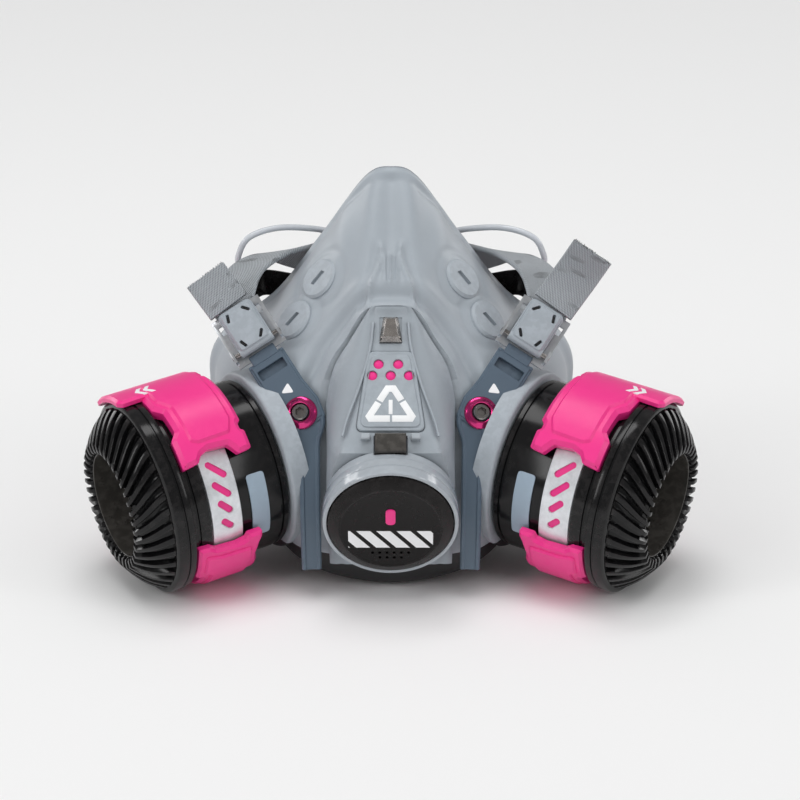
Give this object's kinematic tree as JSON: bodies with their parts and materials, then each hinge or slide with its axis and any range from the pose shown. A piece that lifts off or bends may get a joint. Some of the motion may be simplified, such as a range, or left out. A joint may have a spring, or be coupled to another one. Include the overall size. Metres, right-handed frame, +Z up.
{
  "type": "half-mask respirator",
  "caption": "Soft half-mask facepiece with a hard front shell, exhalation valve and cap, strap harness and two round splayed filter cartridges with spiral-toothed intakes.",
  "frame": {"origin": "middle of the mask's footprint, on the surface it rests on", "axes": "+X the wearer's left, -Y the front, +Z up; the mask rests on its chin and both cartridges, tipped back about 20 degrees"},
  "size_m": [0.1924, 0.1031, 0.1224],
  "materials": {
    "grey_silicone": "matte soft silicone, fine grain",
    "black_rubber": "matte soft rubber",
    "seal_silicone": "smooth soft silicone",
    "grey_shell": "satin moulded plastic",
    "grey_gloss": "semi-gloss moulded plastic",
    "pink_satin": "satin moulded plastic",
    "pink_anodised": "anodised",
    "white_print": "flat inlay",
    "bronze_metal": "brushed, warm",
    "steel": "machined",
    "brass": "machined",
    "slate_plastic": "satin moulded plastic",
    "pale_metal": "satin",
    "pale_tube": "glossy",
    "pale_plate": "satin blank plate",
    "grey_webbing": "woven webbing",
    "black_satin": "satin moulded plastic",
    "black_gloss": "glossy moulded plastic",
    "dark_plastic": "satin moulded plastic",
    "silver_band": "satin",
    "filter_felt": "pleated filter felt"
  },
  "bodies": {
    "mask": {"facepiece": "grey_silicone", "chin_cup": "black_rubber", "face_seal": "seal_silicone", "front_shell": "grey_shell", "badge_plate": "grey_shell", "badge_grille": "pink_satin", "badge_emblem": "white_print", "nose_stud": "bronze_metal", "slotted_plugs": "grey_silicone", "valve_housing": "grey_gloss", "valve_seat": "dark_plastic", "catch_spring": "steel", "harness_arm_left": "slate_plastic", "harness_arm_right": "slate_plastic", "arm_bolts": "steel", "arm_washers": "pink_anodised", "arm_nuts": "brass", "arm_arrows": "white_print", "buckle_plate_left": "pale_metal", "buckle_plate_right": "pale_metal", "lever_pins": "steel", "head_strap": "grey_webbing", "strap_tails": "grey_webbing", "harness_yoke": "pale_tube", "cradle_panels": "black_satin", "inhalation_port_left": "black_gloss", "inhalation_port_right": "black_gloss", "port_gaskets": "black_rubber"},
    "cap": {"valve_cap": "black_satin", "cap_marker": "pink_satin", "cap_stripes": "white_print"},
    "catch": {"catch_button": "dark_plastic"},
    "exhalation_flap": {"exhalation_flap": "seal_silicone"},
    "inhalation_flap_left": {"inhalation_flap_left": "seal_silicone"},
    "inhalation_flap_right": {"inhalation_flap_right": "seal_silicone"},
    "buckle_lever_left": {"buckle_lever_left": "grey_shell"},
    "buckle_lever_right": {"buckle_lever_right": "grey_shell"},
    "cartridge_left": {"canister_left": "black_gloss", "front_bezel_left": "black_gloss", "intake_cone_left": "black_gloss", "guard_upper_left": "pink_satin", "guard_lower_left": "pink_satin", "slotted_band_left": "silver_band", "intake_grille_left": "dark_plastic", "filter_media_left": "filter_felt", "label_plate_left": "pale_plate", "guard_arrows_left": "white_print"},
    "cartridge_right": {"canister_right": "black_gloss", "front_bezel_right": "black_gloss", "intake_cone_right": "black_gloss", "guard_upper_right": "pink_satin", "guard_lower_right": "pink_satin", "slotted_band_right": "silver_band", "intake_grille_right": "dark_plastic", "filter_media_right": "filter_felt", "label_plate_right": "pale_plate", "guard_arrows_right": "white_print"}
  },
  "joints": [
    {"name": "cap_twist", "type": "hinge", "parent": "mask", "child": "cap", "pos_m": [0, -0.046, 0.0293], "axis": [0, -0.9397, -0.342], "range_deg": [0, 30]},
    {"name": "catch_press", "type": "slide", "parent": "mask", "child": "catch", "axis": [0, 0.7638, -0.6455], "range_m": [0, 0.0015], "stiffness_N_per_m": 600},
    {"name": "exhalation_flap_lift", "type": "slide", "parent": "mask", "child": "exhalation_flap", "axis": [0, -0.9397, -0.342], "range_m": [0, 0.0012], "stiffness_N_per_m": 120},
    {"name": "buckle_lever_left_lift", "type": "hinge", "parent": "mask", "child": "buckle_lever_left", "pos_m": [0.04169, -0.00832, 0.0755], "axis": [0.839, -0.2025, -0.505], "range_deg": [0, 60]},
    {"name": "buckle_lever_right_lift", "type": "hinge", "parent": "mask", "child": "buckle_lever_right", "pos_m": [-0.04169, -0.00832, 0.0755], "axis": [0.839, 0.2025, 0.505], "range_deg": [0, 60]},
    {"name": "inhalation_flap_left_lift", "type": "slide", "parent": "mask", "child": "inhalation_flap_left", "axis": [-0.8754, 0.4655, 0.1305], "range_m": [0, 0.0012], "stiffness_N_per_m": 120},
    {"name": "cartridge_left_twist", "type": "hinge", "parent": "mask", "child": "cartridge_left", "pos_m": [0.0453, -0.0067, 0.03562], "axis": [0.8754, -0.4655, -0.1305], "range_deg": [0, 45]},
    {"name": "inhalation_flap_right_lift", "type": "slide", "parent": "mask", "child": "inhalation_flap_right", "axis": [0.8754, 0.4655, 0.1305], "range_m": [0, 0.0012], "stiffness_N_per_m": 120},
    {"name": "cartridge_right_twist", "type": "hinge", "parent": "mask", "child": "cartridge_right", "pos_m": [-0.0453, -0.0067, 0.03562], "axis": [-0.8754, -0.4655, -0.1305], "range_deg": [0, 45]}
  ]
}
